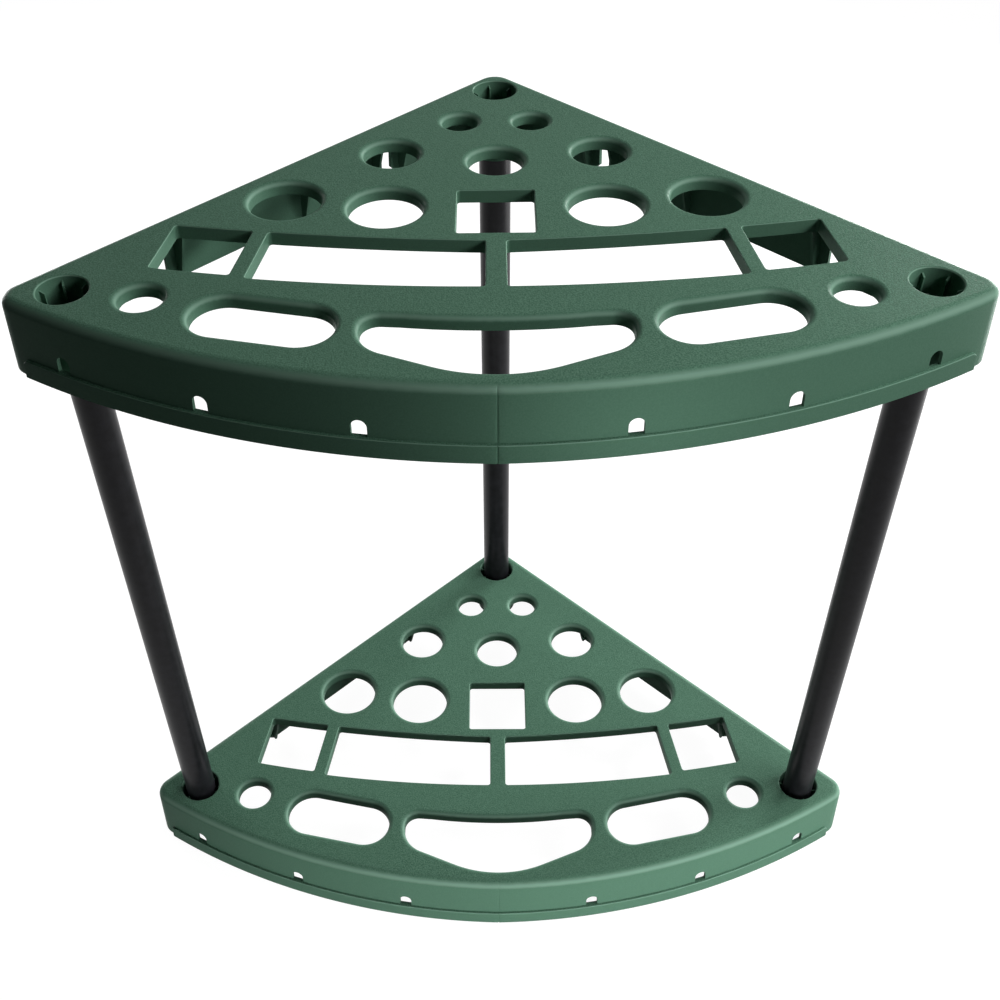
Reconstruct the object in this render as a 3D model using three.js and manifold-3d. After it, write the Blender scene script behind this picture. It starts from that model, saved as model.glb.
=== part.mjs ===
// Freestanding corner rack for long-handled garden tools.
// Two identical moulded trays, a quarter circle in plan, are held one above the other by three tubes.
// A tool's handle drops through an opening of the upper tray and the same opening of the lower one.
// Millimetres, +Z up. The square corner points to +Y and the curved front to -Y.
import * as THREE from "three";
import { mergeVertices } from "three/addons/utils/BufferGeometryUtils.js";
import Module from "manifold-3d";

const wasm = await Module();
wasm.setup();

// Driving dimensions of the rack
const traySpacing = 580; // top face to top face of the two trays
const postReach = 300; // each front tube stands this far left or right of the middle
const postAdvance = 306.5; // the front tubes stand this far in front of the back tube
const cornerReach = 40; // the square corner's tip lies this far behind the back tube
const frontReach = 422.5; // the front edge's middle lies this far in front of the back tube
const frontRadius = 660; // each half of the front edge is an arc of this radius
const frontPeak = 15; // each half's centre is this far across the middle, so the halves meet in a peak
const backCornerRound = 18;
const frontCornerRound = 15;

// Tray moulding
const plate = 3; // thickness of the top plate
const wall = 3; // thickness of skirts and collars
const skirtDepth = 58;
const skirtFlare = 2.2; // the skirt leans out this much from its top to its bottom edge
const edgeRound = 8; // rounding between the plate and the skirt
const collarDepth = 10.5; // the turned-down rim of every tool opening
const collarRoot = 4.5; // a round opening's collar thickens to this where it meets the plate
const rimRound = 5; // rounding at the mouth of the round openings
const slotRimRound = 1; // rounding at the mouth of the slots and the square
const overrun = 2; // cutters pass the faces that they cut by this much

// Raised band and windows of the front skirt, drain notches of the side skirts
const bandHeight = 14.5;
const bandProud = 2.5;
const bandHalfLength = 350; // along the front edge, from the middle
const bandEdge = 1; // chamfer on the band's upper edge
const windowWidth = 11;
const windowHeight = 13;
const firstWindow = 90; // along the front edge, from the middle
const windowPitch = 110.5;
const windowPairs = 3;
const notchWidth = 10.4;
const notchHeight = 38;
const notchMouth = 14; // the lowest part of a notch, which widens downwards at 45 degrees
const notchMiddle = 247; // along the side skirt, from the tip of the square corner
const notchHalfPitch = 114.8;
const reliefHeight = 4.5; // the side skirts' rim is raised this much between the corners
const reliefHalfLength = 180; // to each side of the middle between the notches
const gussetOffset = 15; // a gusset stands this far to each side of a notch
const gussetThickness = 2.2;
const gussetTop = 17; // how far a gusset reaches under the plate
const gussetFoot = 3; // and how far at its lower end
const gussetLift = 7; // its lower end is this far above the skirt's rim

// Tubes and their sockets
const tubeRadius = 14.2;
const tubeWall = 1.6;
const tubeChamfer = 0.6;
const socketRadius = 18.3;
const socketMouthRound = 1.5;
const socketLift = 3; // the socket's lower end is this far above the skirt's rim
const stopThickness = 3; // web across the middle of each socket, on which the tube seats
const stopDepth = 26; // from the tray's top face to the stop
const crushRibs = 6;
const crushRibThickness = 1.2;
const crushRibLead = 4; // the ribs start this far inside the socket's mouth
const crushRibTurn = Math.PI / 4; // the first rib lies in line with a side skirt
const seatClearance = 0.3;

// Round tool openings: sideways and forward of the back tube, and radius
const smallHole = { x: 29.1, forward: 56.9, radius: 11.9 };
const middleHoleOuter = { x: 82.8, forward: 112.4, radius: 22.1 };
const middleHoleCentre = { x: 0, forward: 125.8, radius: 22 };
const largeHoleInner = { x: 82.7, forward: 197, radius: 28.6 };
const largeHoleOuter = { x: 159.3, forward: 185.3, radius: 27.5 };
const endHole = { x: 244.2, forward: 316.7, radius: 16 };

// Square opening in the third row
const squareHalfWidth = 29.3;
const squareBack = 174;
const squareFront = 236.2;
const slotCornerRound = 2.5;

// Curved slots of the fourth row: two long ones inside, two short ones outside
const slotBack = 247.2; // the back edge at the middle of the tray
const slotBackRadius = 1730;
const slotBackPeak = 70;
const slotFront = 306.9;
const slotFrontRadius = 1180;
const slotFrontPeak = 0;
const shortSlotSetback = 2.4; // the short slot's front edge lies this much further back
const slotBarHalf = 7.7; // half the bar between the two long slots
const longSlotEnd = 169.7; // sideways, at the depth below
const shortSlotStart = 181.7;
const shortSlotEnd = 241.9;
const slotEndDepth = 256;
const slotEndSlant = Math.PI / 20; // the slot ends spread towards the front by this angle

// Stadium openings of the fifth row
const stadiumInner = { x: 130.8, forward: 351 };
const stadiumOuter = { x: 184.2, forward: 339 };
const stadiumRadius = 23.6;

// Wide opening in the middle of the fifth row: a shallow bowl with rounded ends
const bowlBack = 345.5;
const bowlBackRadius = 480;
const bowlHalfWidth = 91.3;
const bowlShoulder = 339;
const bowlShoulderRound = 13;
const bowlCheek = 374.8; // where the bowl's side, run on straight, meets its front
const bowlCheekRound = 27;
const bowlKeel = 415; // where the two straight fronts meet, before rounding
const bowlKeelRound = 104;

// Facets
const chordError = 0.46; // a round opening's facets lie this far inside its circle at most
const socketSides = 16;
const tubeSides = 20;
const frontSteps = 8; // facets along each half of the front edge
const slotSteps = 4;
const cornerSteps = 4;
const slotCornerSteps = 2;
const rimSteps = 2;
const edgeSteps = 3;
const windowSteps = 4;

const trayGreen = new THREE.Color(0.09, 0.19, 0.13);
const tubeBlack = new THREE.Color(0.02, 0.021, 0.024);

// A point in the tray's plan, from its distance sideways and forward of the back tube.
function planPoint(sideways, forward) {
  return new THREE.Vector2(sideways, -forward);
}

// Half of the front edge, as a forward distance at a sideways distance from the middle.
function arcForward(sideways, forwardAtMiddle, radius, peak) {
  const centre = forwardAtMiddle - Math.sqrt(radius ** 2 - peak ** 2);
  return centre + Math.sqrt(radius ** 2 - (Math.abs(sideways) + peak) ** 2);
}

// Rounds the corners of a polygon. Each corner is a point with its own radius and step count.
function roundedOutline(corners) {
  const points = [];
  corners.forEach((corner, index) => {
    const before = corners[(index + corners.length - 1) % corners.length].point;
    const after = corners[(index + 1) % corners.length].point;
    if (!corner.radius) {
      points.push(corner.point.clone());
      return;
    }
    const toBefore = before.clone().sub(corner.point).normalize();
    const toAfter = after.clone().sub(corner.point).normalize();
    const half = Math.acos(THREE.MathUtils.clamp(toBefore.dot(toAfter), -1, 1)) / 2;
    const inward = toBefore.clone().add(toAfter).normalize();
    const centre = corner.point.clone().addScaledVector(inward, corner.radius / Math.sin(half));
    const tangent = corner.radius / Math.tan(half);
    const start = corner.point.clone().addScaledVector(toBefore, tangent).sub(centre);
    const end = corner.point.clone().addScaledVector(toAfter, tangent).sub(centre);
    const sweep = Math.atan2(start.cross(end), start.dot(end));
    for (let step = 0; step <= corner.steps; step += 1) {
      const turned = start.clone().rotateAround(new THREE.Vector2(), (sweep * step) / corner.steps);
      points.push(centre.clone().add(turned));
    }
  });
  return points;
}

function corner(sideways, forward, radius = 0, steps = cornerSteps) {
  return { point: planPoint(sideways, forward), radius, steps };
}

// Moves every side of a counter-clockwise outline outwards by the same distance.
function offsetOutline(outline, distance) {
  return outline.map((point, index) => {
    const before = outline[(index + outline.length - 1) % outline.length];
    const after = outline[(index + 1) % outline.length];
    const first = point.clone().sub(before).normalize();
    const second = after.clone().sub(point).normalize();
    const normalSum = new THREE.Vector2(first.y + second.y, -first.x - second.x);
    return point.clone().addScaledVector(normalSum, distance / (1 + first.dot(second)));
  });
}

function mirrored(outline) {
  return outline.map((point) => new THREE.Vector2(-point.x, point.y)).reverse();
}

// Sides of a circle, a multiple of four, that keep its facets within the chord error.
function sidesFor(radius) {
  return 4 * Math.ceil(Math.PI / Math.acos(1 - chordError / radius) / 4);
}

function circleOutline(sideways, forward, radius, sides) {
  const centre = planPoint(sideways, forward);
  return Array.from({ length: sides }, (unused, index) => {
    const angle = (2 * Math.PI * index) / sides;
    return centre.clone().add(new THREE.Vector2(Math.cos(angle), Math.sin(angle)).multiplyScalar(radius));
  });
}

// Closed geometry through a stack of equal-length outlines, each with its height, lowest first.
function loft(rings) {
  const count = rings[0].outline.length;
  const positions = rings.flatMap(({ outline, z }) => outline.flatMap((point) => [point.x, point.y, z]));
  const indices = [];
  for (let ring = 0; ring + 1 < rings.length; ring += 1) {
    for (let side = 0; side < count; side += 1) {
      const next = (side + 1) % count;
      const low = ring * count;
      const high = low + count;
      indices.push(low + side, low + next, high + next, low + side, high + next, high + side);
    }
  }
  const last = (rings.length - 1) * count;
  for (const [a, b, c] of THREE.ShapeUtils.triangulateShape(rings[0].outline, [])) {
    indices.push(a, c, b);
  }
  for (const [a, b, c] of THREE.ShapeUtils.triangulateShape(rings[rings.length - 1].outline, [])) {
    indices.push(last + a, last + b, last + c);
  }
  const geometry = new THREE.BufferGeometry();
  geometry.setAttribute("position", new THREE.Float32BufferAttribute(positions, 3));
  geometry.setIndex(indices);
  return geometry;
}

function solidOf(geometry) {
  const bare = geometry.clone();
  bare.deleteAttribute("normal");
  bare.deleteAttribute("uv");
  const merged = mergeVertices(bare);
  return new wasm.Manifold(new wasm.Mesh({
    numProp: 3,
    vertProperties: Float32Array.from(merged.attributes.position.array),
    triVerts: Uint32Array.from(merged.index.array),
  }));
}

function geometryOf(solid) {
  const mesh = solid.getMesh();
  const geometry = new THREE.BufferGeometry();
  geometry.setAttribute("position", new THREE.BufferAttribute(mesh.vertProperties, 3));
  geometry.setIndex(new THREE.BufferAttribute(mesh.triVerts, 1));
  geometry.computeVertexNormals();
  return geometry;
}

// Sections of a rounded edge that turns from upright to flat: distance in from the upright face, and drop.
function roundedEdge(radius, steps) {
  return Array.from({ length: steps + 1 }, (unused, step) => {
    const angle = (Math.PI / 2) * (step / steps);
    return { inset: radius * (1 - Math.cos(angle)), drop: radius * (1 - Math.sin(angle)) };
  });
}

// Outer plan of the tray at the foot of its top rounding, counter-clockwise from the square corner.
function trayOutline() {
  const side = (sideways) => sideways - cornerReach;
  let low = 0;
  let high = frontRadius - frontPeak;
  for (let pass = 0; pass < 60; pass += 1) {
    const middle = (low + high) / 2;
    if (side(middle) < arcForward(middle, frontReach, frontRadius, frontPeak)) {
      low = middle;
    } else {
      high = middle;
    }
  }
  const tip = low;
  const startAngle = Math.asin(frontPeak / frontRadius);
  const endAngle = Math.asin((tip + frontPeak) / frontRadius);
  const half = [];
  for (let step = 1; step < frontSteps; step += 1) {
    const angle = endAngle + ((startAngle - endAngle) * step) / frontSteps;
    const sideways = frontRadius * Math.sin(angle) - frontPeak;
    half.push({ sideways, forward: arcForward(sideways, frontReach, frontRadius, frontPeak) });
  }
  const left = half.map(({ sideways, forward }) => corner(-sideways, forward));
  const right = half.map(({ sideways, forward }) => corner(sideways, forward)).reverse();
  return roundedOutline([
    corner(0, -cornerReach, backCornerRound),
    corner(-tip, side(tip), frontCornerRound),
    ...left,
    corner(0, frontReach),
    ...right,
    corner(tip, side(tip), frontCornerRound),
  ]);
}

// The moulded shell: a plate with a rounded edge that turns down into a flaring skirt, open below.
function trayShell() {
  const outline = trayOutline();
  const outer = roundedEdge(edgeRound, edgeSteps).map(({ inset, drop }) => ({
    outline: offsetOutline(outline, -inset),
    z: -drop,
  }));
  const inner = roundedEdge(edgeRound - plate, 1).map(({ inset, drop }) => ({
    outline: offsetOutline(outline, -wall - inset),
    z: -plate - drop,
  }));
  const flare = skirtFlare * (1 + overrun / (skirtDepth - edgeRound));
  const body = loft([{ outline: offsetOutline(outline, skirtFlare), z: -skirtDepth }, ...outer]);
  const hollow = loft([{ outline: offsetOutline(outline, flare - wall), z: -skirtDepth - overrun }, ...inner]);
  return solidOf(body).subtract(solidOf(hollow));
}

// Place and outward direction on the front edge, at a distance along it from the middle.
function frontPlace(along, outward) {
  const direction = Math.sign(along) || 1;
  const angle = Math.asin(frontPeak / frontRadius) + Math.abs(along) / frontRadius;
  const centreForward = frontReach - Math.sqrt(frontRadius ** 2 - frontPeak ** 2);
  const reach = frontRadius + outward;
  const sideways = direction * (reach * Math.sin(angle) - frontPeak);
  return { point: planPoint(sideways, centreForward + reach * Math.cos(angle)), angle: direction * angle };
}

function flareAt(depth) {
  return (skirtFlare * (depth - edgeRound)) / (skirtDepth - edgeRound);
}

// The raised band along the bottom of the front skirt.
function frontBand() {
  const section = (depth, proud, trim) => {
    const outer = [];
    const inner = [];
    for (let step = -frontSteps; step <= frontSteps; step += 1) {
      const along = ((bandHalfLength - trim) * step) / frontSteps;
      outer.push(frontPlace(along, flareAt(depth) + proud).point);
      inner.unshift(frontPlace(along, flareAt(depth) - wall / 2).point);
    }
    return { outline: [...outer, ...inner], z: -depth };
  };
  const top = skirtDepth - bandHeight;
  return solidOf(loft([
    section(skirtDepth, bandProud, 0),
    section(top + bandEdge, bandProud, 0),
    section(top, bandProud - bandEdge, bandEdge),
  ]));
}

// A prism that cuts through a skirt: its outline lies in the skirt's face, x along it and y upwards.
function skirtCutter(shape, place, heading, depth) {
  const geometry = new THREE.ExtrudeGeometry(shape, { depth, bevelEnabled: false, curveSegments: windowSteps });
  const along = new THREE.Vector3(Math.cos(heading), Math.sin(heading), 0);
  const up = new THREE.Vector3(0, 0, 1);
  const outward = along.clone().cross(up);
  geometry.translate(0, 0, -depth / 2);
  geometry.applyMatrix4(new THREE.Matrix4().makeBasis(along, up, outward));
  geometry.translate(place.x, place.y, 0);
  return solidOf(geometry);
}

// An opening with an arched top and, where a mouth is given, a foot that widens at 45 degrees.
function archShape(width, bottom, top, mouth = 0) {
  const shape = new THREE.Shape();
  shape.moveTo(-width / 2 - mouth, bottom);
  shape.lineTo(width / 2 + mouth, bottom);
  shape.lineTo(width / 2, bottom + mouth);
  shape.lineTo(width / 2, top - width / 2);
  shape.absarc(0, top - width / 2, width / 2, 0, Math.PI, false);
  shape.lineTo(-width / 2, bottom + mouth);
  return shape;
}

function frontWindows() {
  const sill = bandHeight - skirtDepth;
  const shape = archShape(windowWidth, sill, sill + windowHeight);
  const cutters = [];
  for (const sign of [-1, 1]) {
    for (let index = 0; index < windowPairs; index += 1) {
      const { point, angle } = frontPlace(sign * (firstWindow + index * windowPitch), 0);
      cutters.push(skirtCutter(shape, point, angle, 2 * (wall + skirtFlare + overrun)));
    }
  }
  return cutters;
}

// Places along the two side skirts. Distances run from the tip of the square corner.
function sidePlace(sign, along, inward) {
  const middle = new THREE.Vector2(0, cornerReach);
  const heading = new THREE.Vector2(sign, -1).normalize();
  const inwards = new THREE.Vector2(-sign, -1).normalize();
  return middle.addScaledVector(heading, along).addScaledVector(inwards, inward);
}

function forSideNotches(make) {
  const made = [];
  for (const sign of [-1, 1]) {
    for (const step of [-1, 1]) {
      made.push(...make(sign, notchMiddle + step * notchHalfPitch));
    }
  }
  return made;
}

function sideNotches() {
  const foot = -skirtDepth - overrun;
  const shape = archShape(notchWidth, foot, notchHeight - skirtDepth, notchMouth + overrun);
  const depth = 2 * (wall + skirtFlare + overrun);
  return forSideNotches((sign, along) => [
    skirtCutter(shape, sidePlace(sign, along, 0), Math.PI - (sign * Math.PI) / 4, depth),
  ]);
}

// Shallow relief that lifts the side skirts' rim off the floor, so that the tray stands on its corners and front.
function sideReliefs() {
  const foot = -skirtDepth - overrun;
  const top = reliefHeight - skirtDepth;
  const shape = new THREE.Shape();
  shape.moveTo(-reliefHalfLength - overrun, foot);
  shape.lineTo(reliefHalfLength + overrun, foot);
  shape.lineTo(reliefHalfLength - reliefHeight, top);
  shape.lineTo(reliefHeight - reliefHalfLength, top);
  const depth = 2 * (wall + skirtFlare + overrun);
  return [-1, 1].map((sign) => (
    skirtCutter(shape, sidePlace(sign, notchMiddle, 0), Math.PI - (sign * Math.PI) / 4, depth)
  ));
}

// Upright gussets that stiffen the side skirts beside the notches.
function sideGussets() {
  const foot = gussetLift - skirtDepth;
  const shape = new THREE.Shape();
  shape.moveTo(wall / 2, -edgeRound);
  shape.lineTo(wall / 2 - flareAt(skirtDepth - gussetLift), foot);
  shape.lineTo(wall + gussetFoot, foot);
  shape.lineTo(wall + gussetTop, -plate);
  shape.lineTo(wall + gussetTop, -plate / 2);
  shape.lineTo(edgeRound, -plate / 2);
  return forSideNotches((sign, along) => [-gussetOffset, gussetOffset].map((step) => {
    const geometry = new THREE.ExtrudeGeometry(shape, { depth: gussetThickness, bevelEnabled: false });
    const inwards = new THREE.Vector3(-sign, -1, 0).normalize();
    const up = new THREE.Vector3(0, 0, 1);
    geometry.translate(0, 0, -gussetThickness / 2);
    geometry.applyMatrix4(new THREE.Matrix4().makeBasis(inwards, up, inwards.clone().cross(up)));
    const place = sidePlace(sign, along + step, 0);
    geometry.translate(place.x, place.y, 0);
    return solidOf(geometry);
  }));
}

// Outlines of the tool openings, each with the rounding of its mouth
function roundHole({ x, forward, radius }) {
  return { outline: circleOutline(x, forward, radius, sidesFor(radius)), round: rimRound };
}

function squareHole() {
  const outline = roundedOutline([
    corner(squareHalfWidth, squareBack, slotCornerRound, slotCornerSteps),
    corner(-squareHalfWidth, squareBack, slotCornerRound, slotCornerSteps),
    corner(-squareHalfWidth, squareFront, slotCornerRound, slotCornerSteps),
    corner(squareHalfWidth, squareFront, slotCornerRound, slotCornerSteps),
  ]);
  return { outline, round: slotRimRound };
}

// A curved slot between two slanted ends, given as sideways distances at the reference depth.
function curvedSlot(start, startSlant, end, endSlant, setback) {
  const back = (sideways) => arcForward(sideways, slotBack, slotBackRadius, slotBackPeak);
  const front = (sideways) => arcForward(sideways, slotFront, slotFrontRadius, slotFrontPeak) - setback;
  const endAt = (sideways, slant, edge) => {
    let found = sideways;
    for (let pass = 0; pass < 8; pass += 1) {
      found = sideways + (edge(found) - slotEndDepth) * Math.tan(slant);
    }
    return found;
  };
  const edgeCorners = (edge, from, to) => Array.from({ length: slotSteps + 1 }, (unused, step) => {
    const sideways = from + ((to - from) * step) / slotSteps;
    const round = step === 0 || step === slotSteps ? slotCornerRound : 0;
    return corner(sideways, edge(sideways), round, slotCornerSteps);
  });
  const outline = roundedOutline([
    ...edgeCorners(back, endAt(end, endSlant, back), endAt(start, startSlant, back)),
    ...edgeCorners(front, endAt(start, startSlant, front), endAt(end, endSlant, front)),
  ]);
  return { outline, round: slotRimRound };
}

function stadiumHole() {
  const from = planPoint(stadiumInner.x, stadiumInner.forward);
  const to = planPoint(stadiumOuter.x, stadiumOuter.forward);
  const tilt = to.clone().sub(from).angle();
  const sides = sidesFor(stadiumRadius);
  const outline = [];
  for (const [centre, start] of [[to, tilt - Math.PI / 2], [from, tilt + Math.PI / 2]]) {
    for (let step = 0; step <= sides / 2; step += 1) {
      const angle = start + (2 * Math.PI * step) / sides;
      outline.push(new THREE.Vector2(Math.cos(angle), Math.sin(angle)).multiplyScalar(stadiumRadius).add(centre));
    }
  }
  return { outline, round: rimRound };
}

function bowlHole() {
  const back = (sideways) => bowlBack - sideways ** 2 / (2 * bowlBackRadius);
  const along = Array.from({ length: 2 * slotSteps - 1 }, (unused, index) => {
    const share = 1 - (index + 1) / slotSteps;
    return share * (bowlHalfWidth - 2 * bowlShoulderRound);
  });
  const outline = roundedOutline([
    corner(bowlHalfWidth, bowlShoulder, bowlShoulderRound),
    ...along.map((sideways) => corner(sideways, back(sideways))),
    corner(-bowlHalfWidth, bowlShoulder, bowlShoulderRound),
    corner(-bowlHalfWidth, bowlCheek, bowlCheekRound),
    corner(0, bowlKeel, bowlKeelRound, 2 * cornerSteps),
    corner(bowlHalfWidth, bowlCheek, bowlCheekRound),
  ]);
  return { outline, round: rimRound };
}

function toolHoles() {
  const paired = [
    roundHole(smallHole),
    roundHole(middleHoleOuter),
    roundHole(largeHoleInner),
    roundHole(largeHoleOuter),
    roundHole(endHole),
    curvedSlot(slotBarHalf, 0, longSlotEnd, slotEndSlant, 0),
    curvedSlot(shortSlotStart, slotEndSlant, shortSlotEnd, slotEndSlant, shortSlotSetback),
    stadiumHole(),
  ];
  const single = [roundHole(middleHoleCentre), squareHole(), bowlHole()];
  return [...paired, ...paired.map(({ outline, round }) => ({ outline: mirrored(outline), round })), ...single];
}

// The turned-down collar of an opening, thicker towards the plate where the mouth is well rounded.
function collar({ outline, round }) {
  const root = round > plate ? collarRoot : wall;
  return solidOf(loft([
    { outline: offsetOutline(outline, wall), z: -collarDepth },
    { outline: offsetOutline(outline, root), z: -plate },
    { outline: offsetOutline(outline, root), z: -plate / 2 },
  ]));
}

function openingCutter({ outline, round }) {
  const steps = round > plate ? rimSteps : 1;
  const section = (outward, z) => ({ outline: offsetOutline(outline, outward), z });
  const mouth = roundedEdge(round, steps).map(({ inset, drop }) => section(inset, -drop));
  return solidOf(loft([section(0, -collarDepth - overrun), ...mouth, section(round, overrun)]));
}

// Socket: a long boss under the plate with a bore from above, one from below and a stop between them.
function postPlaces() {
  return [
    { name: "left", sideways: -postReach, forward: postAdvance },
    { name: "right", sideways: postReach, forward: postAdvance },
    { name: "back", sideways: 0, forward: 0 },
  ];
}

function socketBoss({ sideways, forward }) {
  const outline = circleOutline(sideways, forward, socketRadius + wall, socketSides);
  return solidOf(loft([{ outline, z: socketLift - skirtDepth }, { outline, z: -plate / 2 }]));
}

function socketBores({ sideways, forward }) {
  const ring = (radius, z) => ({ outline: circleOutline(sideways, forward, radius, socketSides), z });
  const upper = loft([
    ring(socketRadius, -stopDepth),
    ring(socketRadius, -socketMouthRound),
    ring(socketRadius + socketMouthRound, 0),
    ring(socketRadius + socketMouthRound, overrun),
  ]);
  const lower = loft([
    ring(socketRadius, socketLift - skirtDepth - overrun),
    ring(socketRadius, -stopDepth - stopThickness),
  ]);
  return [solidOf(upper), solidOf(lower)];
}

// Crush ribs that grip the tube, in the upper and in the lower bore.
function socketRibs({ sideways, forward }) {
  const inner = tubeRadius + seatClearance;
  const outer = socketRadius + wall / 2;
  const spans = [
    [-stopDepth - stopThickness / 2, -crushRibLead],
    [socketLift - skirtDepth + crushRibLead, -stopDepth - stopThickness / 2],
  ];
  const ribs = [];
  for (const [low, high] of spans) {
    for (let index = 0; index < crushRibs; index += 1) {
      const geometry = new THREE.BoxGeometry(outer - inner, crushRibThickness, high - low);
      geometry.translate((inner + outer) / 2, 0, (low + high) / 2);
      geometry.rotateZ(crushRibTurn + (2 * Math.PI * index) / crushRibs);
      geometry.translate(sideways, -forward, 0);
      ribs.push(solidOf(geometry));
    }
  }
  return ribs;
}

// The whole moulded tray, with its top face at height zero.
function trayGeometry() {
  const holes = toolHoles();
  const posts = postPlaces();
  const add = (solid, parts) => parts.reduce((whole, part) => whole.add(part), solid);
  const cut = (solid, parts) => parts.reduce((whole, part) => whole.subtract(part), solid);
  let tray = add(trayShell(), [frontBand(), ...sideGussets(), ...holes.map(collar), ...posts.map(socketBoss)]);
  tray = cut(tray, [...holes.map(openingCutter), ...posts.flatMap(socketBores)]);
  tray = cut(tray, [...frontWindows(), ...sideNotches(), ...sideReliefs()]);
  return geometryOf(add(tray, posts.flatMap(socketRibs)));
}

// A hollow tube that stands on the lower tray's stop and carries the upper tray's stop.
function tubeGeometry() {
  const low = seatClearance - stopDepth;
  const high = traySpacing - stopDepth - stopThickness - seatClearance;
  const bore = tubeRadius - tubeWall;
  const profile = [
    [bore, low],
    [tubeRadius - tubeChamfer, low],
    [tubeRadius, low + tubeChamfer],
    [tubeRadius, high - tubeChamfer],
    [tubeRadius - tubeChamfer, high],
    [bore, high],
    [bore, low],
  ].map(([radius, z]) => new THREE.Vector2(radius, z));
  return new THREE.LatheGeometry(profile, tubeSides).rotateX(Math.PI / 2);
}

// Assembly, with the origin on the floor under the middle of the rack
const rack = new THREE.Group();
const tray = trayGeometry();
tray.computeBoundingBox();
const middle = tray.boundingBox.getCenter(new THREE.Vector3());
const lowerTop = skirtDepth;

function addPart(name, geometry, color, roughness, sideways, forward, height) {
  const mesh = new THREE.Mesh(geometry, new THREE.MeshStandardMaterial({ color, roughness, metalness: 0 }));
  mesh.name = name;
  mesh.position.set(sideways - middle.x, -forward - middle.y, lowerTop + height);
  rack.add(mesh);
}

addPart("lower_tray", tray, trayGreen, 0.5, 0, 0, 0);
addPart("upper_tray", tray.clone(), trayGreen, 0.5, 0, 0, traySpacing);
for (const { name, sideways, forward } of postPlaces()) {
  addPart(`${name}_tube`, tubeGeometry(), tubeBlack, 0.4, sideways, forward, 0);
}

export default rack;
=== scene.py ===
"""Looks of the freestanding corner rack for garden tools: fine trays and tubes, studio and camera.

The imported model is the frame. The trays and the tubes are built again here, with the same sizes
and finer rounding, and stand for the faceted ones.
"""
import math

import bpy
import bmesh
from mathutils import Matrix, Vector


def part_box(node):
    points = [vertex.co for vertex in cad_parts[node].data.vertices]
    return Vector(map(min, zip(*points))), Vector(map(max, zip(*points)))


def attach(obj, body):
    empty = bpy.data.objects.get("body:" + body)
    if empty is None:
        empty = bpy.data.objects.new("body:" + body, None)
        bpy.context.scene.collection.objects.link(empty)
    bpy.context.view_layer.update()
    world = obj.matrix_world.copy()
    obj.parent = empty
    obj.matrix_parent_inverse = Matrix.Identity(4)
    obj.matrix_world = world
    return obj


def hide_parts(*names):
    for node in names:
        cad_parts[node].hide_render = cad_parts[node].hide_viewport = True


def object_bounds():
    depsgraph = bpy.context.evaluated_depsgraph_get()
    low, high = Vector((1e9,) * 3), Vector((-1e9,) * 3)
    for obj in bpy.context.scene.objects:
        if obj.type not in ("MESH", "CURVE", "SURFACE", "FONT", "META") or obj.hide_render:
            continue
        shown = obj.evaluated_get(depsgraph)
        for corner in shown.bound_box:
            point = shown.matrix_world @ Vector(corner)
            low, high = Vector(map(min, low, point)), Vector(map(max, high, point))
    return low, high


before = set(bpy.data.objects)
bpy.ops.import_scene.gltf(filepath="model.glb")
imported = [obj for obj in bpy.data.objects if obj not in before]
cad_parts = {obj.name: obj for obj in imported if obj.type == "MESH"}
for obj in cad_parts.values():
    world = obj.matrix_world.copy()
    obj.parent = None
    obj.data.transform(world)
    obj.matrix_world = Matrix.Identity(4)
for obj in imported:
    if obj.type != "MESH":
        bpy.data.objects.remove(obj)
CAD_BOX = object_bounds()

MM = 0.001

# Sizes of the moulding in millimetres. Sideways and forward distances run from the back tube's
# axis, and forward is towards the viewer. Places along a side skirt run from the back corner's tip.
POST_REACH = 300
POST_ADVANCE = 306.5
CORNER_REACH = 40
FRONT_REACH = 422.5
FRONT_RADIUS = 660
FRONT_PEAK = 15
BACK_CORNER_ROUND = 18
FRONT_CORNER_ROUND = 15.8
PLATE = 3
WALL = 3
SKIRT_DEPTH = 58
SKIRT_FLARE = 2.2
EDGE_ROUND = 8
COLLAR_DEPTH = 10.5
RIM_ROUND = 5
SLOT_RIM_ROUND = 1
OVERRUN = 2

BAND_HEIGHT = 14.5
BAND_PROUD = 2.5
BAND_HALF_LENGTH = 350
BAND_EDGE_ROUND = 1
BAND_END_ROUND = 6
WITNESS_WIDTH = 1.8
WITNESS_DEPTH = 0.5
WINDOW_WIDTH = 11
WINDOW_HEIGHT = 13
FIRST_WINDOW = 90
WINDOW_PITCH = 110.5
WINDOW_PAIRS = 3
NOTCH_WIDTH = 10.4
NOTCH_HEIGHT = 38
NOTCH_MOUTH = 14
NOTCH_MIDDLE = 247
NOTCH_HALF_PITCH = 114.8
RELIEF_HEIGHT = 4.5
RELIEF_HALF_LENGTH = 180
SKIRT_CUT = 2 * (WALL + SKIRT_FLARE + OVERRUN)
GUSSET_OFFSET = 15
MIDDLE_GUSSET = 224
GUSSET_THICKNESS = 2.2
GUSSET_TOP = 17
GUSSET_FOOT = 3
GUSSET_LIFT = 7

TUBE_RADIUS = 14.2
TUBE_WALL = 1.6
TUBE_CHAMFER = 0.6
SOCKET_RADIUS = 18.3
SOCKET_MOUTH_ROUND = 1.5
SOCKET_LIFT = 3
STOP_THICKNESS = 3
STOP_DEPTH = 26
CRUSH_RIBS = 6
CRUSH_RIB_THICKNESS = 1.2
CRUSH_RIB_INSET = 4
CRUSH_RIB_SLOPE = 2
CRUSH_RIB_TURN = math.pi / 4
SEAT_CLEARANCE = 0.3

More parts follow.
